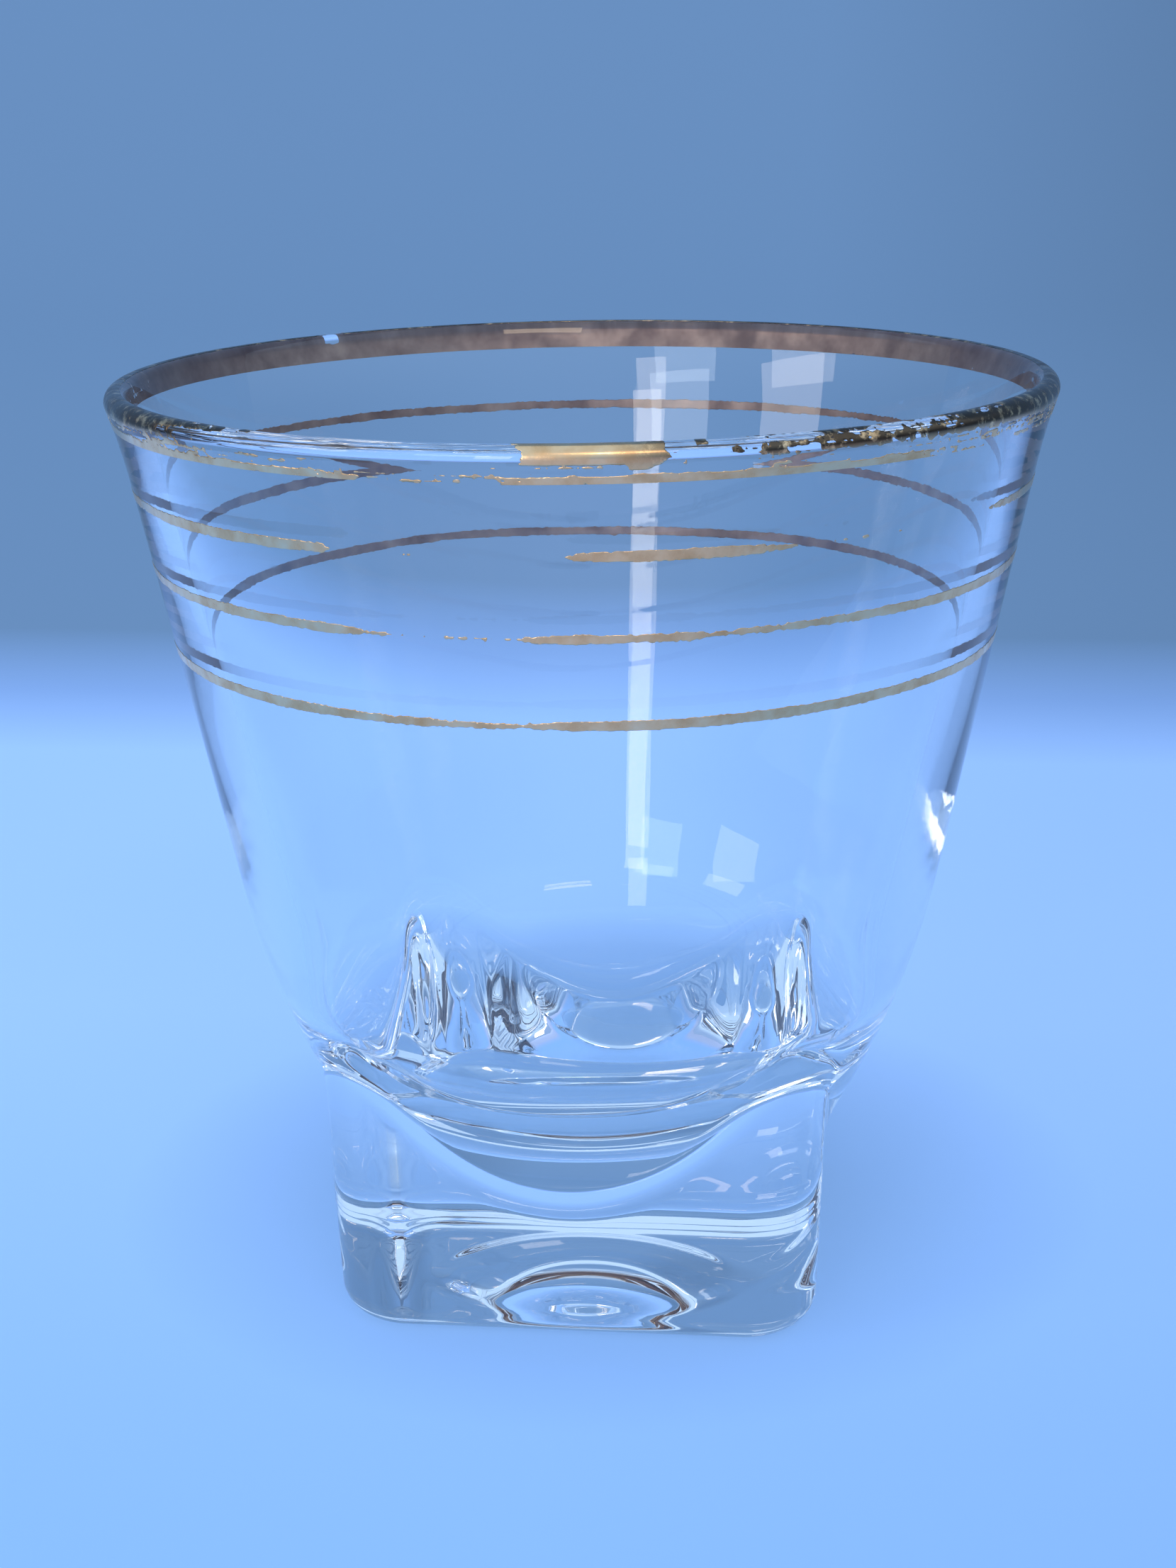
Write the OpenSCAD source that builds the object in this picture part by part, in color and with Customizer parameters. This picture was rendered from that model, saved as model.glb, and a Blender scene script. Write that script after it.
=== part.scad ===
// Square-footed shot glass with fired gold decoration: one pressed glass and four thin coats of gold.
// Millimetres. The origin is the middle of the foot's underside, +Z is up, and the foot's flats face X and Y.

/* [Overall] */
// Height from the underside of the foot to the top of the lip
height = 52.4; // [48:0.1:64]
// Diameter across the lip
lip_d = 52; // [48:0.5:58]

/* [Wall] */
// Thickness of the lip, whose edge is a full round
lip_t = 1.3; // [0.9:0.05:1.8]
// Lean of the straight wall's outside, in degrees from upright
wall_lean = 11.5; // [8:0.1:14]
// Lean of the straight wall's inside, in degrees from upright
hollow_lean = 13.3; // [12.5:0.1:16.5]
// Height of the slight flare below the lip
flare_h = 4.9; // [3:0.1:5]
// Radius of the curve by which the flare opens
flare_r = 36; // [24:1:80]
// Height above the underside at which the straight wall turns in towards the foot
belly_z = 24.5; // [21:0.5:28]
// Radius of the curve by which the wall turns in
belly_r = 48; // [42:1:60]

/* [Hollow] */
// Height of the hollow's lowest point above the underside
floor_z = 11; // [9:0.5:15]
// Radius of the shallow dish that forms the hollow's floor
floor_r = 30; // [20:1:60]
// Radius of the rounded corner between the hollow's wall and its floor
floor_corner_r = 7; // [4:0.5:9]

/* [Foot] */
// Width of the square foot across its flats, at the underside
foot_w = 27.3; // [25:0.1:30]
// Radius of the foot's upright corners, at the underside
foot_corner_r = 4.2; // [2.6:0.1:5]
// Radius of the rounded edge round the underside
foot_edge_r = 1.9; // [1:0.1:2.4]
// Lean of the foot's flats, in degrees from upright
foot_draft = 2.2; // [0:0.1:3]
// Diameter of the round hollow under the foot
dimple_d = 18; // [10:0.5:19]
// Depth of the round hollow under the foot
dimple_depth = 1.6; // [0.6:0.1:2.5]

/* [Gilding] */
// Thickness of the fired gold coats
gild_t = 0.05; // [0.04:0.01:0.1]
// Height of the wide coat on the outside of the rim, from the top of the lip
rim_coat_h = 1.85; // [1.2:0.05:2.8]
// How far the wide coat wraps over the lip past its crown, in degrees
rim_coat_wrap = 20; // [0:5:45]
// Width of each thin band, measured up the wall
band_w = 0.55; // [0.3:0.05:0.8]
// Drop from the top of the lip to the middle of the upper band
upper_band_drop = 5.4; // [4:0.1:7]
// Drop from the top of the lip to the middle of the middle band
middle_band_drop = 9.5; // [8.5:0.1:11]
// Drop from the top of the lip to the middle of the lower band
lower_band_drop = 14; // [13:0.1:16]

/* [Hidden] */
$fn = 96;

// how far cutting shapes run past what they cut
past = 1;
// how far neighbouring curves cross instead of only touching, which leaves clean edges
hair = 0.003;

// Lip: a circle that closes the top of the wall
lip_r = lip_t / 2;
lip_c = [lip_d / 2 - lip_r, height - lip_r];

// Flare: arcs that touch the lip's circle above and the straight wall below, outside and inside.
// The leans at the lip follow from the flare's height and radius.
flare_z = height - flare_h;
lip_lean_out = asin((flare_h - lip_r + flare_r * sin(wall_lean)) / (flare_r + lip_r));
lip_lean_in = asin((flare_h - lip_r + flare_r * sin(hollow_lean)) / (flare_r - lip_r));
flare_c_out = lip_c + (lip_r + flare_r) * out_dir(lip_lean_out);
flare_c_in = lip_c + (flare_r - lip_r) * out_dir(lip_lean_in);
wall_top_r = flare_c_out[0] - flare_r * cos(wall_lean);
hollow_top_r = flare_c_in[0] - (flare_r - 2 * hair) * cos(hollow_lean);
flare_cut_r = flare_r + hair;
coat_low_z = height - rim_coat_h;

// Belly: an arc that touches the straight wall and turns it in, down into the foot
belly_top = [outside_r(belly_z), belly_z];
belly_c = belly_top - belly_r * out_dir(wall_lean);
body_bottom_z = foot_edge_r + past;

// Hollow: its floor is an arc centred on the axis, its corner an arc that touches the floor and the wall
floor_c = [0, floor_z + floor_r];
slide_from = [hollow_top_r, flare_z] - floor_corner_r * out_dir(hollow_lean) - floor_c;
slide_mid = slide_from * wall_dir(hollow_lean);
slide = slide_mid + sqrt(pow(slide_mid, 2) - slide_from * slide_from + pow(floor_r - floor_corner_r, 2));
corner_c = floor_c + slide_from - slide * wall_dir(hollow_lean);
corner_low_r = corner_c[0] * floor_r / (floor_r - floor_corner_r);
corner_top = corner_c + floor_corner_r * out_dir(hollow_lean);

// Dimple: the ball whose cap is the round hollow under the foot
dimple_ball_r = (pow(dimple_d / 2, 2) + pow(dimple_depth, 2)) / (2 * dimple_depth);

// The foot runs up inside the body, at least until its corners are under the wall
foot_corner_reach = (foot_w / 2 - foot_corner_r) * sqrt(2) + foot_corner_r;
foot_under_wall_z = (foot_corner_reach - outside_r(0)) / (tan(wall_lean) - tan(foot_draft));
foot_top_z = max(belly_z, foot_under_wall_z + past);

// Direction square to a wall of this lean, away from the axis
function out_dir(lean) = [cos(lean), -sin(lean)];
// Direction up along a wall of this lean
function wall_dir(lean) = [sin(lean), cos(lean)];
// Radius of the straight wall's outside at height z
function outside_r(z) = wall_top_r - (flare_z - z) * tan(wall_lean);
// Radius of the straight wall's inside at height z
function inside_r(z) = hollow_top_r - (flare_z - z) * tan(hollow_lean);

// A rectangle in the half-plane that is turned round the axis
module block(r0, r1, z0, z1) translate([r0, z0]) square([r1 - r0, z1 - z0]);

// A circle with its centre at c
module disc(c, r) translate(c) circle(r);

// The top of the wall up to the middle of the lip's round, outside only, grown by this much
module rim_outline(growth) {
    difference() {
        union() {
            disc(lip_c, lip_r + growth);
            polygon([
                [0, flare_z],
                [lip_d, flare_z],
                lip_c + flare_h * out_dir(lip_lean_out),
                lip_c,
                lip_c - lip_t * out_dir(lip_lean_in),
                [0, lip_c[1] + lip_t * sin(lip_lean_in)]
            ]);
        }
        disc(flare_c_out, flare_cut_r - growth);
    }
}

// The wall's outside from the foot up to the lip, grown by this much
module wall_outline(growth) {
    grown = growth * out_dir(wall_lean);
    difference() {
        union() {
            polygon([
                [0, body_bottom_z],
                [outside_r(body_bottom_z), body_bottom_z] + grown,
                [wall_top_r, flare_z] + grown,
                [0, flare_z]
            ]);
            rim_outline(growth);
        }
        disc(flare_c_out, flare_cut_r - growth);
    }
}

// Half section of the round body without its hollow, up to the lip's round
module body_section() {
    difference() {
        wall_outline(0);
        difference() {
            block(0, lip_d, 0, belly_z);
            disc(belly_c, belly_r + hair);
        }
    }
}

// The hollow's dished floor and the round corner that joins it to the wall
module hollow_floor() {
    intersection() {
        disc(floor_c, floor_r);
        union() {
            disc(corner_c, floor_corner_r + hair);
            block(0, corner_low_r, 0, corner_top[1] + past);
        }
    }
}

// Half section of the hollow up to the middle of the lip's round
module hollow_section() {
    difference() {
        union() {
            polygon([[0, 0], [inside_r(0), 0], [hollow_top_r, flare_z], [0, flare_z]]);
            block(0, lip_d / 2, flare_z, height + past);
        }
        disc(flare_c_in, flare_r - hair);
        difference() {
            block(0, lip_d, -past, corner_top[1]);
            hollow_floor();
        }
    }
}

// Section across the foot from the middle of a corner's round outwards: upright, with a rounded bottom edge
module foot_edge_section() {
    growth = (foot_top_z - foot_edge_r) * tan(foot_draft);
    round_c = [foot_corner_r - foot_edge_r, foot_edge_r];
    polygon([
        [0, foot_edge_r],
        [foot_corner_r, foot_edge_r],
        [foot_corner_r + growth, foot_top_z],
        [0, foot_top_z]
    ]);
    block(0, round_c[0], 0, foot_edge_r);
    intersection() {
        disc(round_c, foot_edge_r);
        block(0, foot_corner_r, 0, foot_edge_r);
    }
}

// The foot: a square core, and on each side a straight edge that ends in a round corner
module foot() {
    reach = foot_w / 2 - foot_corner_r;
    translate([-reach, -reach, 0])
        cube([2 * reach, 2 * reach, foot_top_z]);
    for (turn = [0:90:270])
        rotate([0, 0, turn]) {
            translate([reach, reach, 0])
                rotate_extrude(angle = 90) foot_edge_section();
            translate([reach, reach, 0])
                rotate([90, 0, 0])
                    linear_extrude(2 * reach) foot_edge_section();
        }
}

module glass_body() {
    color([0.80, 0.90, 0.96, 0.45])
        union() {
            difference() {
                union() {
                    rotate_extrude() body_section();
                    foot();
                }
                rotate_extrude() hollow_section();
                translate([0, 0, dimple_depth - dimple_ball_r])
                    sphere(dimple_ball_r);
            }
            rotate_extrude() disc(lip_c, lip_r);
        }
}

// The wide coat: over the lip's round and a little way down the flare
module rim_gilding() {
    color([0.74, 0.60, 0.38])
        rotate_extrude()
            difference() {
                intersection() {
                    rim_outline(gild_t);
                    polygon([
                        lip_c,
                        lip_c + lip_d * [cos(90 + rim_coat_wrap), sin(90 + rim_coat_wrap)],
                        [lip_d, height + lip_d],
                        [lip_d, coat_low_z],
                        [lip_c[0] - (lip_c[1] - coat_low_z) * tan(lip_lean_out), coat_low_z]
                    ]);
                }
                rim_outline(0);
            }
}

// A thin band laid on the wall, its middle this far below the lip
module band(drop) {
    middle = [outside_r(height - drop), height - drop];
    up = wall_dir(wall_lean) * band_w / 2;
    out = out_dir(wall_lean) * past;
    color([0.74, 0.60, 0.38])
        rotate_extrude()
            intersection() {
                difference() {
                    wall_outline(gild_t);
                    wall_outline(0);
                }
                polygon([middle - up - out, middle - up + out, middle + up + out, middle + up - out]);
            }
}

module upper_band() band(upper_band_drop);
module middle_band() band(middle_band_drop);
module lower_band() band(lower_band_drop);

glass_body();
rim_gilding();
upper_band();
middle_band();
lower_band();
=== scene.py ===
import math

import bpy
import numpy as np
from mathutils import Matrix, Vector


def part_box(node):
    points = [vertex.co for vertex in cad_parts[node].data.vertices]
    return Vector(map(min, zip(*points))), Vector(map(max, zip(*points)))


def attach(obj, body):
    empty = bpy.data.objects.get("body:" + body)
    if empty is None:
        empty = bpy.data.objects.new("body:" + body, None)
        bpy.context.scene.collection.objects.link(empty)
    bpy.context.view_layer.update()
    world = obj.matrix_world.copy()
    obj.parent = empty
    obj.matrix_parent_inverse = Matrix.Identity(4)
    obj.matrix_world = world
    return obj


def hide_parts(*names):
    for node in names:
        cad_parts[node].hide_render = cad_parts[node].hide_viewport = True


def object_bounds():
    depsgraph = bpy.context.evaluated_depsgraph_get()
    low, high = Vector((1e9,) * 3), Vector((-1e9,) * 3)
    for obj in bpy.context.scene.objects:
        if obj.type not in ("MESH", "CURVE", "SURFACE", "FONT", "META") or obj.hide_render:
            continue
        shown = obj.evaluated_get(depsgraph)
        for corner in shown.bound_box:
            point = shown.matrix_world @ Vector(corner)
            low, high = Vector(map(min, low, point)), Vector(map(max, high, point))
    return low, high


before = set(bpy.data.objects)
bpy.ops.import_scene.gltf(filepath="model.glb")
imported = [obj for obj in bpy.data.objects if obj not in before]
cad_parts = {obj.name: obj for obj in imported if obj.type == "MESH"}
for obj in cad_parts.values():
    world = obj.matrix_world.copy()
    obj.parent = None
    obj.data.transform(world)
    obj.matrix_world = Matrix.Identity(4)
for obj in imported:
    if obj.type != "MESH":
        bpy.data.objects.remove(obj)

CAD_BOX = [[float(v) for v in corner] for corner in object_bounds()]

# ---------------- sizes, in millimetres, named as in the part's source
MM = 0.001
SEED = 20
HEIGHT = CAD_BOX[1][2] / MM
LIP_D = (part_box("glass_body")[1].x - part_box("glass_body")[0].x) / MM
LIP_T = 1.3
WALL_LEAN = math.radians(11.5)
HOLLOW_LEAN = math.radians(13.3)
FLARE_H = 4.9
FLARE_R = 36.0
BELLY_Z = 24.5
BELLY_R = 48.0
FLOOR_Z = 11.0
FLOOR_R = 30.0
FLOOR_CORNER_R = 7.0
FOOT_W = 27.3
FOOT_CORNER_R = 4.2
FOOT_EDGE_R = 1.9
FOOT_DRAFT = math.radians(2.2)
DIMPLE_D = 18.0
DIMPLE_DEPTH = 1.6
BAND_W = 0.55
RIM_COAT_H = 1.85
RIM_COAT_WRAP = math.radians(20)
BAND_DROPS = {"upper_band": 5.4, "middle_band": 9.5, "lower_band": 14.0}

# how softly the foot's flats run into the round wall
SHOULDER_BLEND = 0.7
# how softly the hollow under the foot meets the flat that it stands on
DIMPLE_BLEND = 0.25
# the glass's surface waves by about this much, as pressed glass does, in this many waves
WALL_WAVE = 0.005
WAVE_COUNT = 14
# the wave grows to its full size over this distance from the lip, and from this height in the foot
WAVE_FADE = 6
WAVE_FROM_Z = 4

# the glass's mesh: segments round it, and rings along each part of its surface
SEGMENTS = 320
RINGS = {
    "dimple": 26, "foot_edge": 10, "foot_side": 64, "wall": 32, "flare": 12, "lip": 27,
    "flare_inside": 11, "wall_inside": 34, "floor_corner": 18, "floor": 18,
}
FIRST_RING_R = 0.6
FLAT_RINGS = (0.4, 0.8, 1.0)
# the rings under the foot run this far past the hollow there
DIMPLE_MARGIN = 1.2
# the rings are close together up to here, where the foot's corners have run into the wall
CLOSE_RINGS_Z = 22
RING_STEP = 0.4

# the fired gold is drawn from just inside the glass's surface to just outside it
GOLD_IN = -0.025
GOLD_OUT = 0.014
# the gold's ragged edge cuts its cells' sides no nearer their ends than this share, which leaves no slivers
EDGE_CUT = 0.04

# the camera's direction round the glass: the foot's flats are turned by this much from square to it
VIEW_TURN = math.radians(6.6)


# ---------------- shape of the glass, as curves in millimetres
def out_dir(lean):
    return np.array([math.cos(lean), -math.sin(lean)])


def arc(centre, radius, start, end, count):
    """Points of an arc, from one direction to the other, in degrees."""
    a = np.radians(np.linspace(start, end, count))
    return np.stack([centre[0] + radius * np.cos(a), centre[1] + radius * np.sin(a)], 1)


def lean_at_lip(lean, radius):
    return math.asin((FLARE_H - LIP_R + FLARE_R * math.sin(lean)) / radius)


LIP_R = LIP_T / 2
LIP_C = np.array([LIP_D / 2 - LIP_R, HEIGHT - LIP_R])
FLARE_Z = HEIGHT - FLARE_H
LIP_LEAN_OUT = lean_at_lip(WALL_LEAN, FLARE_R + LIP_R)
LIP_LEAN_IN = lean_at_lip(HOLLOW_LEAN, FLARE_R - LIP_R)
FLARE_C_OUT = LIP_C + (LIP_R + FLARE_R) * out_dir(LIP_LEAN_OUT)
FLARE_C_IN = LIP_C + (FLARE_R - LIP_R) * out_dir(LIP_LEAN_IN)
WALL_TOP_R = FLARE_C_OUT[0] - FLARE_R * math.cos(WALL_LEAN)
HOLLOW_TOP_R = FLARE_C_IN[0] - FLARE_R * math.cos(HOLLOW_LEAN)
BELLY_TOP_R = WALL_TOP_R - (FLARE_Z - BELLY_Z) * math.tan(WALL_LEAN)
BELLY_C = np.array([BELLY_TOP_R, BELLY_Z]) - BELLY_R * out_dir(WALL_LEAN)


def floor_corner_centre():
    """Centre of the round corner between the hollow's wall and its dished floor."""
    floor_c = np.array([0, FLOOR_Z + FLOOR_R])
    start = np.array([HOLLOW_TOP_R, FLARE_Z]) - FLOOR_CORNER_R * out_dir(HOLLOW_LEAN) - floor_c
    along = np.array([math.sin(HOLLOW_LEAN), math.cos(HOLLOW_LEAN)])
    mid = start @ along
    slide = mid + math.sqrt(mid**2 - start @ start + (FLOOR_R - FLOOR_CORNER_R) ** 2)
    return floor_c + start - slide * along


def wall_radius(z):
    """Radius of the round wall's outside, from the foot to the lip's round."""
    z = np.asarray(z, float)
    in_belly = np.minimum(z, BELLY_Z) - BELLY_C[1]
    in_flare = np.maximum(z, FLARE_Z) - FLARE_C_OUT[1]
    belly = BELLY_C[0] + np.sqrt(np.maximum(BELLY_R**2 - in_belly**2, 0))
    straight = WALL_TOP_R - (FLARE_Z - z) * math.tan(WALL_LEAN)
    flare = FLARE_C_OUT[0] - np.sqrt(np.maximum(FLARE_R**2 - in_flare**2, 0))
    return np.where(z < BELLY_Z, belly, np.where(z < FLARE_Z, straight, flare))


def soft_max(a, b, blend):
    """The greater of two, with the corner between them rounded over this difference."""
    h = np.maximum(blend - np.abs(a - b), 0) / blend
    return np.maximum(a, b) + h * h * blend / 4


def square_radius(turn, half, corner):
    """Distance from the axis to a square with round corners, in each direction."""
    t = np.abs((turn + math.pi / 4) % (math.pi / 2) - math.pi / 4)
    reach = half - corner
    across = reach * (np.cos(t) - np.sin(t))
    round_part = reach * (np.cos(t) + np.sin(t)) + np.sqrt(np.maximum(corner**2 - across**2, 0))
    return np.where(half * np.tan(t) <= reach, half / np.cos(t), round_part)


def foot_radius(turn, z):
    """Distance from the axis to the foot's side at height z, its bottom edge rounded."""
    inset = FOOT_EDGE_R - math.sqrt(max(FOOT_EDGE_R**2 - max(FOOT_EDGE_R - z, 0) ** 2, 0))
    growth = max(z - FOOT_EDGE_R, 0) * math.tan(FOOT_DRAFT)
    return square_radius(turn, FOOT_W / 2 + growth - inset, FOOT_CORNER_R + growth - inset)


rng = np.random.default_rng(SEED)
WAVES = [
    (rng.integers(2, 12), rng.uniform(0.1, 0.55), rng.uniform(0, 2 * math.pi), rng.uniform(0.4, 1.0))
    for _ in range(WAVE_COUNT)
]


def wave(turn, z, side):
    """Slight unevenness of a pressed, fire-polished surface, none of it at the lip or low in the foot."""
    total = 0
    for rounds, per_mm, phase, size in WAVES:
        total = total + size * np.sin(rounds * turn + per_mm * z + phase * side)
    fade = np.clip((HEIGHT - z) / WAVE_FADE, 0, 1) * np.clip((z - WAVE_FROM_Z) / WAVE_FADE, 0, 1)
    return WALL_WAVE * total / 2 * fade


# ---------------- meshes
def new_object(name, verts, faces):
    """A smooth-shaded mesh object from points in millimetres."""
    mesh = bpy.data.meshes.new(name)
    mesh.from_pydata((np.asarray(verts) * MM).tolist(), [], [list(map(int, f)) for f in faces])
    mesh.validate()
    mesh.shade_smooth()
    obj = bpy.data.objects.new(name, mesh)
    bpy.context.scene.collection.objects.link(obj)
    return obj


def glass_rings():
    """The glass's surface as rings: under the foot, up the outside, over the lip, down into the hollow."""
    turn = np.linspace(0, 2 * math.pi, SEGMENTS, endpoint=False)
    rings = []

    def ring(radius, z):
        radius = np.broadcast_to(radius, turn.shape)
        z = np.broadcast_to(z, turn.shape)
        rings.append(np.stack([radius * np.cos(turn), radius * np.sin(turn), z], 1))

    ball_r = ((DIMPLE_D / 2) ** 2 + DIMPLE_DEPTH**2) / (2 * DIMPLE_DEPTH)
    dimple_out = DIMPLE_D / 2 + DIMPLE_MARGIN
    for r in np.linspace(FIRST_RING_R, dimple_out, RINGS["dimple"]):
        cap = math.sqrt(ball_r**2 - r**2) - (ball_r - DIMPLE_DEPTH)
        ring(r, soft_max(cap, 0.0, DIMPLE_BLEND))
    flat_edge = foot_radius(turn, 0)
    for part in FLAT_RINGS:
        ring(dimple_out + (flat_edge - dimple_out) * part, 0.0)
    for a in np.linspace(0, math.pi / 2, RINGS["foot_edge"] + 1)[1:]:
        z = FOOT_EDGE_R * (1 - math.cos(a))
        ring(foot_radius(turn, z), z)
    foot_side = np.linspace(FOOT_EDGE_R + RING_STEP, CLOSE_RINGS_Z, RINGS["foot_side"])
    wall = np.linspace(CLOSE_RINGS_Z + 2 * RING_STEP, FLARE_Z, RINGS["wall"])
    for z in np.concatenate([foot_side, wall]):
        radius = soft_max(wall_radius(z), foot_radius(turn, z), SHOULDER_BLEND)
        ring(radius + wave(turn, z, 1), z)
    lip_low_z = LIP_C[1] - LIP_R * math.sin(LIP_LEAN_OUT)
    for z in np.linspace(FLARE_Z, lip_low_z, RINGS["flare"])[1:-1]:
        ring(wall_radius(z) + wave(turn, z, 1), z)
    lip_end = 180 - math.degrees(LIP_LEAN_IN)
    for r, z in arc(LIP_C, LIP_R, -math.degrees(LIP_LEAN_OUT), lip_end, RINGS["lip"]):
        ring(r, z)
    flare_end = 180 - math.degrees(HOLLOW_LEAN)
    for r, z in arc(FLARE_C_IN, FLARE_R, lip_end, flare_end, RINGS["flare_inside"])[1:]:
        ring(r + wave(turn, z, 2), z)
    corner_c = floor_corner_centre()
    corner_top = corner_c + FLOOR_CORNER_R * out_dir(HOLLOW_LEAN)
    for part in np.linspace(0, 1, RINGS["wall_inside"])[1:]:
        r = HOLLOW_TOP_R + (corner_top[0] - HOLLOW_TOP_R) * part
        z = FLARE_Z + (corner_top[1] - FLARE_Z) * part
        ring(r + wave(turn, z, 2), z)
    floor_c = np.array([0, FLOOR_Z + FLOOR_R])
    low = math.degrees(math.atan2(corner_c[1] - floor_c[1], corner_c[0] - floor_c[0]))
    for r, z in arc(corner_c, FLOOR_CORNER_R, -math.degrees(HOLLOW_LEAN), low, RINGS["floor_corner"])[1:]:
        ring(r + wave(turn, z, 2), z)
    for r, z in arc(floor_c, FLOOR_R, low, -90, RINGS["floor"])[1:-1]:
        ring(r, z)
    return rings


def make_glass():
    """The glass as one closed mesh: its rings, and a point in the middle of each end."""
    rings = glass_rings()
    count = len(rings)
    verts = np.concatenate(rings + [[[0, 0, DIMPLE_DEPTH]], [[0, 0, FLOOR_Z]]])
    under, inside = count * SEGMENTS, count * SEGMENTS + 1
    j = np.arange(SEGMENTS)
    k = (j + 1) % SEGMENTS
    faces = []
    for i in range(count - 1):
        a, b = i * SEGMENTS, (i + 1) * SEGMENTS
        faces += np.stack([a + j, a + k, b + k, b + j], 1).tolist()
    faces += np.stack([np.full(SEGMENTS, under), k, j], 1).tolist()
    last = (count - 1) * SEGMENTS
    faces += np.stack([np.full(SEGMENTS, inside), last + j, last + k], 1).tolist()
    return new_object("pressed_glass", verts, faces)


# ---------------- worn gold
# rows of the random lattice across a coat, far more than any coat is wide
LATTICE_ROWS = 400
# the sizes of noise in a worn edge: size of the cells, share
RAGGED = [(0.90, 0.34), (0.36, 0.34), (0.16, 0.40)]
# nearest that the field of a shell comes to nothing at a point of its mesh
FIELD_MIN = 1e-4


def noise(turn, s, cell, radius, seed):
    """Smooth seeded noise from -1 to 1 on the band's surface, in cells of this size."""
    around = max(int(round(2 * math.pi * radius / cell)), 4)
    lattice = np.random.default_rng(seed).uniform(-1, 1, (around, LATTICE_ROWS))
    u = (turn / (2 * math.pi) * around) % around
    v = s / cell + LATTICE_ROWS / 2
    u0, v0 = np.floor(u).astype(int), np.floor(v).astype(int)
    fu, fv = u - u0, v - v0
    fu, fv = fu * fu * (3 - 2 * fu), fv * fv * (3 - 2 * fv)
    u0, u1 = u0 % around, (u0 + 1) % around
    v0, v1 = np.clip(v0, 0, LATTICE_ROWS - 2), np.clip(v0 + 1, 0, LATTICE_ROWS - 1)
    low = lattice[u0, v0] * (1 - fu) + lattice[u1, v0] * fu
    high = lattice[u0, v1] * (1 - fu) + lattice[u1, v1] * fu
    return low * (1 - fv) + high * fv


def ragged(turn, s, radius, seed):
    """Several sizes of noise together: the broken edge of worn gilding."""
    total = 0
    for number, (cell, share) in enumerate(RAGGED):
        total = total + share * noise(turn, s, cell, radius, seed + number)
    return total


def kept(turn, stretches):
    """How much of the gold is left in each direction, from pairs of degrees from the front and share."""
    degrees = np.degrees(turn - FRONT) % 360
    at = np.array([a % 360 for a, _ in stretches], float)
    share = np.array([b for _, b in stretches], float)
    order = np.argsort(at)
    return np.interp(degrees, at[order], share[order], period=360)


def field_grid(widths, field, cells):
    """Turns, widths and field values on a grid round the glass, and the triangles between its points."""
    count_u, count_v = cells
    u = np.linspace(0, 2 * math.pi, count_u, endpoint=False)
    v = np.linspace(widths[0], widths[1], count_v + 1)
    uu, vv = np.meshgrid(u, v, indexing="ij")
    uu, vv = uu.ravel(), vv.ravel()
    f = field(uu, vv)
    f = np.where(np.abs(f) < FIELD_MIN, FIELD_MIN, f)
    edge_rows = (vv == v[0]) | (vv == v[-1])
    f = np.where(edge_rows, -np.abs(f), f)

    row = count_v + 1
    i = np.repeat(np.arange(count_u), count_v)
    j = np.tile(np.arange(count_v), count_u)
    a = i * row + j
    b = ((i + 1) % count_u) * row + j
    tris = np.concatenate([np.stack([a, b, b + 1], 1), np.stack([a, b + 1, a + 1], 1)])
    return uu, vv, f, tris


def cut_to_field(uu, vv, f, tris):
    """The part of the triangles where the field is above nothing, as turns, widths and new triangles."""
    inside = f[tris] > 0
    number = inside.sum(1)
    whole = tris[number == 3]
    one = tris[number == 1]
    one_at = np.argmax(inside[number == 1], 1)
    two = tris[number == 2]
    two_at = np.argmin(inside[number == 2], 1)
    rows = np.arange(len(one))
    p = one[rows, one_at]
    q, r = one[rows, (one_at + 1) % 3], one[rows, (one_at + 2) % 3]
    rows = np.arange(len(two))
    x = two[rows, two_at]
    y, z = two[rows, (two_at + 1) % 3], two[rows, (two_at + 2) % 3]

    total = len(uu)
    cut = np.concatenate([np.stack(pair, 1) for pair in ((p, q), (p, r), (x, y), (x, z))])
    cut.sort(1)
    keys, back = np.unique(cut[:, 0] * total + cut[:, 1], return_inverse=True)
    c0, c1 = keys // total, keys % total
    t = np.clip(f[c0] / (f[c0] - f[c1]), EDGE_CUT, 1 - EDGE_CUT)
    du = uu[c1] - uu[c0]
    du = (du + math.pi) % (2 * math.pi) - math.pi
    new_u = uu[c0] + du * t
    new_v = vv[c0] + (vv[c1] - vv[c0]) * t
    pq, pr, xy, xz = np.split(back.ravel() + total, np.cumsum([len(p), len(p), len(x)]))
    corners = ((p, pq, pr), (xy, y, z), (xy, z, xz))
    faces = np.concatenate([whole] + [np.stack(three, 1) for three in corners])

    used, faces = np.unique(faces, return_inverse=True)
    all_u = np.concatenate([uu, new_u])[used]
    all_v = np.concatenate([vv, new_v])[used]
    return all_u, all_v, faces.reshape(-1, 3)


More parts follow.
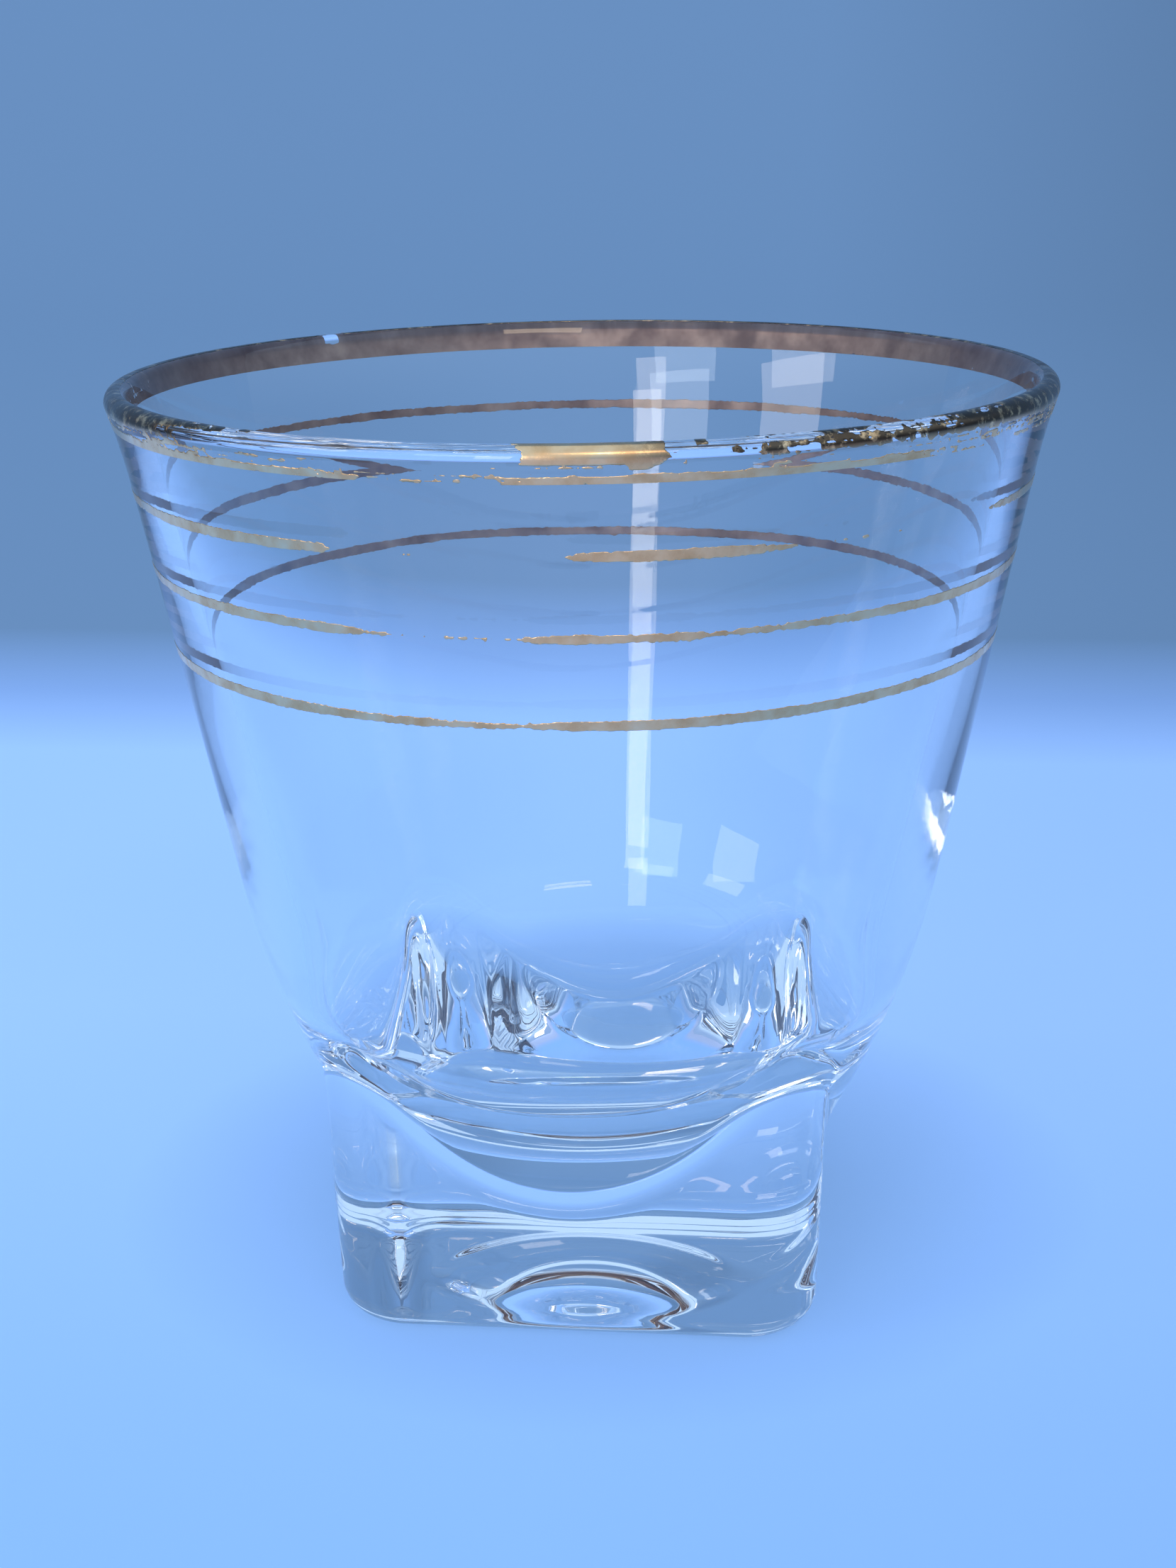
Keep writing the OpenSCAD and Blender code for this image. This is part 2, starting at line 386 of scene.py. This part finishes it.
def shell(name, surface, widths, field, cells):
    """A thin closed shell on a surface of turns and widths, wherever the field is above nothing."""
    turns, across, faces = cut_to_field(*field_grid(widths, field, cells))
    point, normal = surface(turns, across)
    count = len(point)
    first = point[faces[0]]
    if np.cross(first[1] - first[0], first[2] - first[0]) @ normal[faces[0, 0]] < 0:
        faces = faces[:, ::-1]
    verts = np.concatenate([point + normal * GOLD_OUT, point + normal * GOLD_IN])
    edges = np.concatenate([faces[:, [0, 1]], faces[:, [1, 2]], faces[:, [2, 0]]])
    key = edges[:, 0] * count + edges[:, 1]
    opposite = edges[:, 1] * count + edges[:, 0]
    rim = edges[~np.isin(key, opposite)]
    all_faces = faces.tolist() + (faces[:, ::-1] + count).tolist()
    all_faces += np.stack([rim[:, 1], rim[:, 0], rim[:, 0] + count, rim[:, 1] + count], 1).tolist()
    obj = new_object(name, verts, all_faces)
    obj.data.materials.append(GOLD)
    obj.data.materials.append(GOLD_UNDER)
    materials = [0] * len(faces) + [1] * len(faces) + [0] * len(rim)
    obj.data.polygons.foreach_set("material_index", materials)
    return obj


def on_wall(middle_z):
    """Surface of a band: v is measured up the wall from the band's middle."""

    def surface(turn, v):
        z = middle_z + v * math.cos(WALL_LEAN)
        r = wall_radius(z) + wave(turn, z, 1)
        nr, nz = out_dir(WALL_LEAN)
        point = np.stack([r * np.cos(turn), r * np.sin(turn), z], 1)
        normal = np.stack([nr * np.cos(turn), nr * np.sin(turn), np.full_like(turn, nz)], 1)
        return point, normal

    return surface


def on_rim(turn, v):
    """Surface of the wide coat: v is measured from the crown of the lip, outwards and down."""
    round_end = LIP_R * (math.pi / 2 + LIP_LEAN_OUT)
    a = np.pi / 2 - np.minimum(v, round_end) / LIP_R
    lip = LIP_C + LIP_R * np.stack([np.cos(a), np.sin(a)], 1)
    flare_a = math.pi - LIP_LEAN_OUT + np.maximum(v - round_end, 0) / FLARE_R
    flare = FLARE_C_OUT + FLARE_R * np.stack([np.cos(flare_a), np.sin(flare_a)], 1)
    on_lip = (v < round_end)[:, None]
    rz = np.where(on_lip, lip, flare)
    direction = np.where(on_lip[:, 0], a, flare_a - math.pi)
    nr, nz = np.cos(direction), np.sin(direction)
    r = rz[:, 0]
    point = np.stack([r * np.cos(turn), r * np.sin(turn), rz[:, 1]], 1)
    normal = np.stack([nr * np.cos(turn), nr * np.sin(turn), nz], 1)
    return point, normal


# direction of the side that the camera sees
FRONT = -math.pi / 2 + VIEW_TURN
# where each band is worn: degrees round from the front, and the share kept there
WEAR = {
    "upper_band": [
        (-75, 0.9), (-58, 1.0), (-36, 1.0), (-30, 0.8), (-28, -0.6), (-22, -0.5), (-20, 0.05),
        (-18.5, 0.0), (-16, -0.8), (-3, -0.8), (-1, 0.75), (6, 1.0), (16, 1.0), (22, 0.5), (25, -0.5),
        (30, -0.15), (35, -0.05), (41, -0.2), (45, -0.7), (55, -0.5), (58, 0.6), (66, 0.9), (90, 0.9),
        (120, 0.4), (140, 0.8), (165, 1.0), (188, 0.9), (215, 0.9), (240, 0.7), (262, 0.9),
    ],
    "middle_band": [
        (-70, 0.9), (-50, 1.0), (-30, 0.9), (-25, 0.3), (-22, 0.15), (-18, -0.1), (-14, -0.15),
        (-8, 0.1), (-5, 0.8), (0, 0.9), (5, 0.75), (9, 0.7), (14, 0.55), (22, 0.5), (30, 0.8),
        (45, 0.95), (65, 1.0), (90, 0.9), (130, 0.8), (160, 1.0), (190, 0.9), (230, 1.0), (260, 0.9),
    ],
    "lower_band": [
        (-65, 1.0), (-40, 1.0), (-22, 0.8), (-15, 0.55), (-8, 0.5), (-3, 0.8), (2, 1.0), (20, 1.0),
        (45, 1.0), (65, 1.0), (100, 0.9), (150, 1.0), (180, 0.9), (220, 1.0), (270, 0.9),
    ],
}
# a band's ragged edge: its size on whole gold and what wear adds, in band widths
BAND_ROUGH = 0.13
BAND_ROUGH_WORN = 0.30
# a band is at most this much wider than its even width
BAND_SHARE_MAX = 1.1
# a band wanders up and down by this much, over this length
BRUSH_WANDER = 0.03
BRUSH_CELL = 5.0
# the mesh of a band: how far it reaches from the band's middle in band widths, its cells and their size
BAND_REACH = 0.72
BAND_CELLS = 13
BAND_CELL = 0.07
BAND_SEEDS = {"upper_band": SEED + 40, "middle_band": SEED + 50, "lower_band": SEED + 60}


def band_field(name):
    """Above nothing where a band's gold is left."""
    seed = BAND_SEEDS[name]
    middle = HEIGHT - BAND_DROPS[name]
    radius = float(wall_radius(middle))

    def field(turn, v):
        share = kept(turn, WEAR[name])
        rough = BAND_ROUGH + BAND_ROUGH_WORN * np.clip(1 - share, 0, 1)
        brush = noise(turn, v, BRUSH_CELL, radius, seed + 7) * BRUSH_WANDER
        across = BAND_W / 2 * np.clip(share, -1, BAND_SHARE_MAX) - np.abs(v - brush)
        return across + BAND_W * rough * ragged(turn, v, radius, seed)

    return field


def make_band(name):
    middle = HEIGHT - BAND_DROPS[name]
    reach = BAND_W * BAND_REACH
    cells = (int(2 * math.pi * float(wall_radius(middle)) / BAND_CELL), BAND_CELLS)
    return shell("worn_" + name, on_wall(middle), (-reach, reach), band_field(name), cells)


def coat_end():
    """Length of the wide coat down the outside, from the crown of the lip."""
    round_end = LIP_R * (math.pi / 2 + LIP_LEAN_OUT)
    low = math.asin((HEIGHT - RIM_COAT_H - FLARE_C_OUT[1]) / FLARE_R)
    return round_end + FLARE_R * (LIP_LEAN_OUT - low)


COAT_END = coat_end()


# the wide coat's wear, on the lip's crown, down its face, in the dip below it and along its lower edge
RIM_WEAR = {
    "crown": [
        (-80, 0.9), (-60, 0.9), (-45, 0.55), (-37, 0.1), (-28, -0.15), (-22, -0.5), (-14, -0.4),
        (-11, -0.1), (-8, 0.0), (-6.4, 0.45), (-5, 1.0), (7, 1.0), (8.4, 0.45), (9.6, -0.4),
        (11.3, -0.5), (11.6, 0.7), (12.8, 0.7), (13, -0.4), (16, 0.0), (22, 0.25), (36, 0.3),
        (45, 0.45), (60, 0.8), (80, 0.9), (100, 0.9), (130, 0.9), (160, 1.0), (182, 1.0),
        (200, 1.1), (215, 1.0), (217, 0.1), (220, 0.1), (222, 0.9), (260, 0.9),
    ],
    "face": [
        (-80, 0.9), (-60, 0.7), (-50, 0.3), (-43, -0.2), (-36, -0.8), (-9, -0.6), (-6.6, 0.1),
        (-5.4, 1.0), (7.4, 1.0), (8.8, 0.3), (14, 0.25), (20, 0.45), (30, 0.45), (42, 0.5),
        (60, 0.8), (80, 0.9), (120, 0.9), (180, 1.1), (215, 1.0), (218, 0.1), (221, 0.9), (260, 0.9),
    ],
    "waist": [
        (-80, 0.5), (-60, 0.35), (-45, 0.25), (-30, 0.15), (-20, 0.0), (-10, 0.0), (0, 0.22),
        (10, 0.32), (20, 0.2), (35, 0.1), (60, 0.3), (90, 0.6), (130, 1.0), (180, 1.15),
        (215, 1.1), (230, 1.0), (262, 0.6),
    ],
    "low_edge": [
        (-80, 0.7), (-60, 0.8), (-35, 0.75), (-27, 0.6), (-22, 0.15), (-12, 0.1), (-7, 0.7),
        (0, 1.0), (15, 0.9), (28, 0.8), (38, 0.6), (44, 0.1), (60, 0.2), (90, 0.7), (150, 0.8),
        (200, 0.8), (260, 0.8),
    ],
}
# how far from the crown each of them begins and ends, and one blends into the next in between
RIM_ROWS = [
    (-0.1, "crown"), (0.42, "crown"), (0.7, "face"), (1.15, "face"),
    (1.35, "waist"), (1.8, "waist"), (COAT_END - 0.36, "low_edge"), (COAT_END, "low_edge"),
]
# streaks round the coat: how far they are drawn out, how fine they are, and their size
STREAK_STRETCH = 0.03
STREAK_CELL = 0.055
STREAK_SIZE = 0.30
# what is added to their size low down, and how far from the crown that begins and how fast it grows
STREAK_SIZE_LOW = 0.35
STREAK_LOW_FROM = 1.2
STREAK_LOW_BLEND = 0.3
# flakes: half of the gold is gone where its share is this, and the noise counts for more on worn gold
HALF_GONE = 0.42
SHARE_WEIGHT = 1.15
FLAKE_SIZE = 0.9
FLAKE_WHOLE = 0.25
FLAKE_WORN = 0.45
FLAKE_LIMIT = 1.1
# how ragged the coat's two ends are, and how sharply they end it
END_ROUGH = 0.035
END_WEIGHT = 6
# the mesh of the coat: how far it reaches past both ends, its cells and their size
RIM_MARGIN = 0.08
RIM_CELLS = 26
RIM_CELL = 0.11


def rim_field(turn, v):
    """Above nothing where the wide coat's gold is left."""
    radius = LIP_D / 2
    layers = {name: kept(turn, knots) for name, knots in RIM_WEAR.items()}
    share = np.full_like(v, -1.0)
    for (v0, name0), (v1, name1) in zip(RIM_ROWS, RIM_ROWS[1:]):
        t = np.clip((v - v0) / (v1 - v0), 0, 1)
        here = (v >= v0) & (v <= v1)
        share = np.where(here, layers[name0] * (1 - t) + layers[name1] * t, share)
    share = np.where(v < RIM_ROWS[0][0], layers["crown"], share)
    low_down = np.clip((v - STREAK_LOW_FROM) / STREAK_LOW_BLEND, 0, 1)
    streaks = noise(turn * STREAK_STRETCH, v, STREAK_CELL, radius, SEED + 31)
    streaks = streaks * (STREAK_SIZE + STREAK_SIZE_LOW * low_down)
    patch = ragged(turn, v, radius, SEED + 21) * FLAKE_SIZE + streaks
    worn = np.clip(FLAKE_LIMIT - np.abs(share), 0, 1)
    body = (share - HALF_GONE) * SHARE_WEIGHT + patch * (FLAKE_WHOLE + FLAKE_WORN * worn)
    ends = np.minimum(v + RIM_COAT_WRAP * LIP_R, COAT_END - v)
    ends = ends + END_ROUGH * ragged(turn, v, radius, SEED + 25)
    return np.minimum(body, ends * END_WEIGHT)


def make_rim():
    cells = (int(math.pi * LIP_D / RIM_CELL), RIM_CELLS)
    widths = (-RIM_COAT_WRAP * LIP_R - RIM_MARGIN, COAT_END + RIM_MARGIN)
    return shell("worn_rim_gilding", on_rim, widths, rim_field, cells)


# ---------------- materials
GLASS_IOR = 1.517
# painted dark reflection on the gold, where it would show the dark room at its sides and back, and its
# colour; in metres: it begins and is full this far aside, is full this far towards the back, and begins and
# is full this far below the top
PAINTED_DARK_REFLECTION = (0.055, 0.040, 0.030)
DARK_REFLECTION_FROM_X = 0.0042
DARK_REFLECTION_FULL_X = 0.0085
DARK_REFLECTION_FULL_Y = 0.020
DARK_REFLECTION_FROM_TOP = 0.0011
DARK_REFLECTION_FULL_TOP = 0.0006
GOLD_TONES = [(0.30, (0.80, 0.45, 0.20)), (0.55, (0.98, 0.62, 0.32)), (0.75, (1.0, 0.72, 0.42))]
UNDERSIDE_TONES = [(0.32, (0.30, 0.17, 0.13)), (0.70, (0.56, 0.36, 0.26))]
# object coordinates that are stretched in no direction
EVEN = (1, 1, 1)


class Nodes:
    """A material's node tree, built a line at a time."""

    def __init__(self, name):
        self.material = bpy.data.materials.new(name)
        self.material.use_nodes = True
        self.tree = self.material.node_tree
        self.shader = self.tree.nodes["Principled BSDF"]

    @classmethod
    def for_world(cls, name):
        nodes = cls.__new__(cls)
        nodes.material = bpy.data.worlds.new(name)
        nodes.material.use_nodes = True
        nodes.tree = nodes.material.node_tree
        nodes.shader = nodes.tree.nodes["Background"]
        return nodes

    def add(self, kind, operation=None):
        node = self.tree.nodes.new(kind)
        if operation:
            node.operation = operation
        return node

    def link(self, source, target):
        self.tree.links.new(source, target)

    def scaled(self, factors):
        """Object coordinates, stretched by three factors."""
        place = self.add("ShaderNodeTexCoord")
        mapping = self.add("ShaderNodeMapping")
        mapping.inputs["Scale"].default_value = factors
        self.link(place.outputs["Object"], mapping.inputs["Vector"])
        return mapping.outputs["Vector"]

    def noise(self, vector, scale, detail, rough=0.55):
        node = self.add("ShaderNodeTexNoise")
        node.inputs["Scale"].default_value = scale
        node.inputs["Detail"].default_value = detail
        node.inputs["Roughness"].default_value = rough
        self.link(vector, node.inputs["Vector"])
        return node.outputs["Fac"]

    def ramp(self, source, stops):
        """A colour ramp from a list of (place, colour)."""
        node = self.add("ShaderNodeValToRGB")
        points = node.color_ramp.elements
        while len(points) < len(stops):
            points.new(0.5)
        for point, (place, colour) in zip(points, stops):
            point.position = place
            point.color = (*colour, 1)
        self.link(source, node.inputs["Fac"])
        return node.outputs["Color"]

    def range(self, source, low, high, to_low, to_high):
        node = self.add("ShaderNodeMapRange")
        for name, value in (("From Min", low), ("From Max", high), ("To Min", to_low), ("To Max", to_high)):
            node.inputs[name].default_value = value
        self.link(source, node.inputs["Value"])
        return node.outputs["Result"]

    def combine(self, a, b, operation="MULTIPLY"):
        node = self.add("ShaderNodeMath", operation=operation)
        self.link(a, node.inputs[0])
        self.link(b, node.inputs[1])
        return node.outputs["Value"]

    def blend(self, share, source, colour):
        """A colour output, mixed with this fixed colour by a share."""
        node = self.add("ShaderNodeMixRGB")
        node.inputs["Color2"].default_value = (*colour, 1)
        self.link(share, node.inputs["Fac"])
        self.link(source, node.inputs["Color1"])
        return node.outputs["Color"]

    def bump(self, height, strength, distance):
        node = self.add("ShaderNodeBump")
        node.inputs["Strength"].default_value = strength
        node.inputs["Distance"].default_value = distance
        self.link(height, node.inputs["Height"])
        self.link(node.outputs["Normal"], self.shader.inputs["Normal"])

    def set(self, **values):
        """Fixed values on the shader's inputs, an underscore standing for each space in a name."""
        for key, value in values.items():
            self.shader.inputs[key.replace("_", " ")].default_value = value


def glass_material():
    """Clear glass, rubbed a little dull in fine spots, its surface very slightly rippled."""
    m = Nodes("pressed_clear_glass")
    m.set(Base_Color=(0.97, 0.99, 1.0, 1), IOR=GLASS_IOR, Transmission_Weight=1.0)
    fine = m.noise(m.scaled(EVEN), 900.0, 4.0)
    m.link(m.range(fine, 0.62, 0.80, 0.0, 0.10), m.shader.inputs["Roughness"])
    ripple = m.noise(m.scaled((1, 1, 0.35)), 160.0, 2.0)
    m.bump(ripple, 0.10, 0.00004)
    return m.material


def gold_material():
    """Fired gold, with a painted dark reflection in spots round the top of the lip, least so at the very
    front and back.
    """
    m = Nodes("fired_gold")
    place = m.scaled(EVEN)
    split = m.add("ShaderNodeSeparateXYZ")
    m.link(place, split.inputs["Vector"])
    aside = m.add("ShaderNodeMath", operation="ABSOLUTE")
    m.link(split.outputs["X"], aside.inputs[0])
    tone = m.noise(place, 700.0, 4.0)
    gold = m.ramp(tone, GOLD_TONES)
    # painted dark reflection: the gold is darkened in spots aside and towards the back, near the top of the
    # lip, where it would show the dark room
    spots = m.range(m.noise(place, 1500.0, 6.0, 0.7), 0.36, 0.48, 0.0, 1.0)
    to_side = m.range(aside.outputs["Value"], DARK_REFLECTION_FROM_X, DARK_REFLECTION_FULL_X, 0.0, 0.9)
    top = HEIGHT * MM
    to_top = m.range(split.outputs["Z"], top - DARK_REFLECTION_FROM_TOP, top - DARK_REFLECTION_FULL_TOP, 0.0, 1.0)
    to_back = m.range(split.outputs["Y"], 0.0, DARK_REFLECTION_FULL_Y, 0.0, 0.7)
    where = m.combine(to_side, to_back, "MAXIMUM")
    share = m.combine(m.combine(where, to_top), spots)
    m.link(m.blend(share, gold, PAINTED_DARK_REFLECTION), m.shader.inputs["Base Color"])
    m.set(Metallic=1.0)
    m.link(m.range(tone, 0.3, 0.7, 0.34, 0.14), m.shader.inputs["Roughness"])
    m.bump(m.noise(place, 2600.0, 2.0), 0.35, 0.00001)
    return m.material


def gold_underside_material():
    """The side of the gold that is fired to the glass, seen through it: duller and browner."""
    m = Nodes("fired_gold_underside")
    tone = m.noise(m.scaled(EVEN), 500.0, 4.0)
    m.link(m.ramp(tone, UNDERSIDE_TONES), m.shader.inputs["Base Color"])
    m.set(Metallic=0.8)
    m.link(m.range(tone, 0.3, 0.7, 0.55, 0.35), m.shader.inputs["Roughness"])
    return m.material


# ---------------- stage, lights and camera, in metres
# the studio paper's colours from in front of the glass to far behind it, where it is a darker blue
PAPER_DEPTH = (-0.10, 0.20)
PAPER = [
    (0.05, (0.46, 0.54, 0.74)), (0.18, (0.28, 0.52, 0.93)), (0.45, (0.38, 0.61, 1.0)),
    (0.68, (0.38, 0.61, 1.0)), (0.76, (0.25, 0.42, 0.72)), (0.86, (0.160, 0.275, 0.42)),
]
# the paper is lit from behind as well, like a light table, so that thick glass on it stays bright
PAPER_GLOW = 0.56
# the right side of the stage is in slight shade
PAPER_SHADE = 0.20
PAPER_SHADE_X = (0.0, 0.11)
# the soft shade that the glass throws round its foot, mostly behind it
FOOT_SHADE = 0.46
FOOT_SHADE_COLOUR = (0.075, 0.175, 0.29)
FOOT_SHADE_PLACE = (0.0, 0.008, 0.0)
FOOT_SHADE_R = (0.009, 0.031)
# the paper lies this far below the foot, so that the two surfaces are not one
FLOOR_GAP = 0.0001
# the stage: points along its flat floor, where it ends, half its width, its sweep, and how high it runs
STAGE_FLOOR = (-1.6, -0.4, 0.1, 0.2)
STAGE_TO = 0.75
STAGE_HALF = 1.6
STAGE_BEND = 0.25
STAGE_BEND_POINTS = 16
STAGE_TOP = 1.6
# the room's colour, from straight ahead or behind to straight aside
ROOM = [
    (0.0, (0.34, 0.50, 0.84)), (0.35, (0.30, 0.45, 0.76)),
    (0.75, (0.15, 0.25, 0.44)), (1.0, (0.08, 0.12, 0.22)),
]
# the ceiling's colour, and how steeply up it begins and is full
CEILING = (0.56, 0.78, 1.10)
CEILING_UP = (0.12, 0.50)
# windows and a lamp behind the camera: degrees round from it, height, size, brightness and colour
WINDOWS = {
    "window_narrow": (-20, 0.22, (0.13, 0.34), 4.4, (1.0, 0.90, 0.80)),
    "window_wide": (-30, 0.38, (0.28, 0.17), 3.0, (0.88, 0.94, 1.0)),
    "window_side": (-66, 0.36, (0.32, 0.20), 3.2, (1.0, 0.92, 0.86)),
    "lamp_warm": (12, 0.80, (0.40, 0.14), 5.0, (1.0, 0.76, 0.52)),
}
WINDOW_DISTANCE = 0.9
WINDOW_AIM = (0, 0, 0.05)
# times that light may turn on its way
LIGHT_TURNS = 28
# the camera: its distance and its height above the lip in lip radii, where it looks, its lens and frame
CAMERA_DISTANCE = 5.2956
CAMERA_HEIGHT = 0.6827
CAMERA_YAW = -0.0002
CAMERA_PITCH = 0.2932
CAMERA_ROLL = -0.0170
CAMERA_LENS = 56.962
CAMERA_FRAME = 36


def stage_material():
    """Pale blue paper that glows, shaded at the right and round the glass's foot."""
    m = Nodes("studio_paper")
    place = m.add("ShaderNodeNewGeometry")
    split = m.add("ShaderNodeSeparateXYZ")
    m.link(place.outputs["Position"], split.inputs["Vector"])
    depth = m.range(split.outputs["Y"], PAPER_DEPTH[0], PAPER_DEPTH[1], 0.0, 1.0)
    aside = m.range(split.outputs["X"], PAPER_SHADE_X[0], PAPER_SHADE_X[1], 0.0, PAPER_SHADE)
    from_foot = m.add("ShaderNodeVectorMath", operation="DISTANCE")
    m.link(place.outputs["Position"], from_foot.inputs[0])
    from_foot.inputs[1].default_value = FOOT_SHADE_PLACE
    under = m.range(from_foot.outputs["Value"], FOOT_SHADE_R[0], FOOT_SHADE_R[1], FOOT_SHADE, 0.0)
    colour = m.blend(aside, m.ramp(depth, PAPER), (0.0, 0.0, 0.0))
    colour = m.blend(under, colour, FOOT_SHADE_COLOUR)
    m.link(colour, m.shader.inputs["Base Color"])
    m.link(colour, m.shader.inputs["Emission Color"])
    m.set(Roughness=0.9, Emission_Strength=PAPER_GLOW, Specular_IOR_Level=0.1)
    return m.material


def make_stage(material):
    """A pale floor that sweeps up into a backdrop."""
    floor = [(y, 0.0) for y in STAGE_FLOOR]
    sweep_c = (STAGE_TO - STAGE_BEND, STAGE_BEND)
    sweep = arc(sweep_c, STAGE_BEND, -90, 0, STAGE_BEND_POINTS).tolist()
    profile = floor + sweep + [(STAGE_TO, STAGE_TOP)]
    verts = [(x, y, z - FLOOR_GAP) for y, z in profile for x in (-STAGE_HALF, STAGE_HALF)]
    faces = [(2 * i, 2 * i + 1, 2 * i + 3, 2 * i + 2) for i in range(len(profile) - 1)]
    stage = new_object("studio_floor", np.array(verts) / MM, faces)
    stage.data.materials.append(material)


def make_light(name, place, size, radiance, colour):
    """A rectangular light of even brightness that faces the glass."""
    light = bpy.data.lights.new(name, "AREA")
    light.shape = "RECTANGLE"
    light.size, light.size_y = size
    light.energy = radiance * math.pi * size[0] * size[1]
    light.color = colour
    obj = bpy.data.objects.new(name, light)
    obj.location = place
    obj.rotation_euler = (Vector(WINDOW_AIM) - Vector(place)).to_track_quat("-Z", "Y").to_euler()
    bpy.context.scene.collection.objects.link(obj)


def make_lights():
    for name, (degrees, height, size, radiance, colour) in WINDOWS.items():
        a = FRONT + math.radians(degrees)
        place = (WINDOW_DISTANCE * math.cos(a), WINDOW_DISTANCE * math.sin(a), height)
        make_light(name, place, size, radiance, colour)


def make_world():
    """A soft blue room, darker at its sides, with a pale ceiling that only glass and gold see."""
    world = Nodes.for_world("room")
    place = world.add("ShaderNodeTexCoord").outputs["Generated"]
    split = world.add("ShaderNodeSeparateXYZ")
    world.link(place, split.inputs["Vector"])
    aside = world.add("ShaderNodeMath", operation="ABSOLUTE")
    world.link(split.outputs["X"], aside.inputs[0])
    walls = world.ramp(aside.outputs["Value"], ROOM)
    up = world.range(split.outputs["Z"], CEILING_UP[0], CEILING_UP[1], 0.0, 1.0)
    path = world.add("ShaderNodeLightPath")
    seen = world.range(path.outputs["Is Diffuse Ray"], 0.0, 1.0, 1.0, 0.0)
    world.link(world.blend(world.combine(up, seen), walls, CEILING), world.shader.inputs["Color"])
    bpy.context.scene.world = world.material


def make_camera():
    """The camera stands a little above the glass and looks down at it."""
    lip_radius = LIP_D / 2 * MM
    distance = CAMERA_DISTANCE * lip_radius
    height = HEIGHT * MM + CAMERA_HEIGHT * lip_radius
    ahead = Vector((math.sin(CAMERA_YAW), math.cos(CAMERA_YAW), 0))
    forward = ahead * math.cos(CAMERA_PITCH) - Vector((0, 0, math.sin(CAMERA_PITCH)))
    level = Vector((math.cos(CAMERA_YAW), -math.sin(CAMERA_YAW), 0))
    up = level.cross(forward)
    right = level * math.cos(CAMERA_ROLL) + up * math.sin(CAMERA_ROLL)
    top = up * math.cos(CAMERA_ROLL) - level * math.sin(CAMERA_ROLL)
    camera = bpy.data.cameras.new("camera")
    camera.sensor_fit = "VERTICAL"
    camera.sensor_height = CAMERA_FRAME
    camera.lens = CAMERA_LENS
    camera.clip_start = 0.01
    obj = bpy.data.objects.new("camera", camera)
    turn = Matrix.Rotation(VIEW_TURN, 4, "Z")
    axes = Matrix((right, top, -forward)).transposed().to_4x4()
    obj.matrix_world = turn @ Matrix.Translation((0, -distance, height)) @ axes
    bpy.context.scene.collection.objects.link(obj)
    bpy.context.scene.camera = obj


# ---------------- build
GLASS = glass_material()
GOLD = gold_material()
GOLD_UNDER = gold_underside_material()

glass = make_glass()
glass.data.materials.append(GLASS)
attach(glass, "root")
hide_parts("glass_body")

rim = make_rim()
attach(rim, "root")
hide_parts("rim_gilding")

for name in BAND_DROPS:
    band = make_band(name)
    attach(band, "root")
    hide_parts(name)

make_stage(stage_material())
make_lights()
make_world()
make_camera()
bpy.context.scene.view_settings.view_transform = "Standard"
# light turns back many times inside thick glass before it finds its way out
for kind in ("max_bounces", "glossy_bounces", "transmission_bounces"):
    setattr(bpy.context.scene.cycles, kind, LIGHT_TURNS)
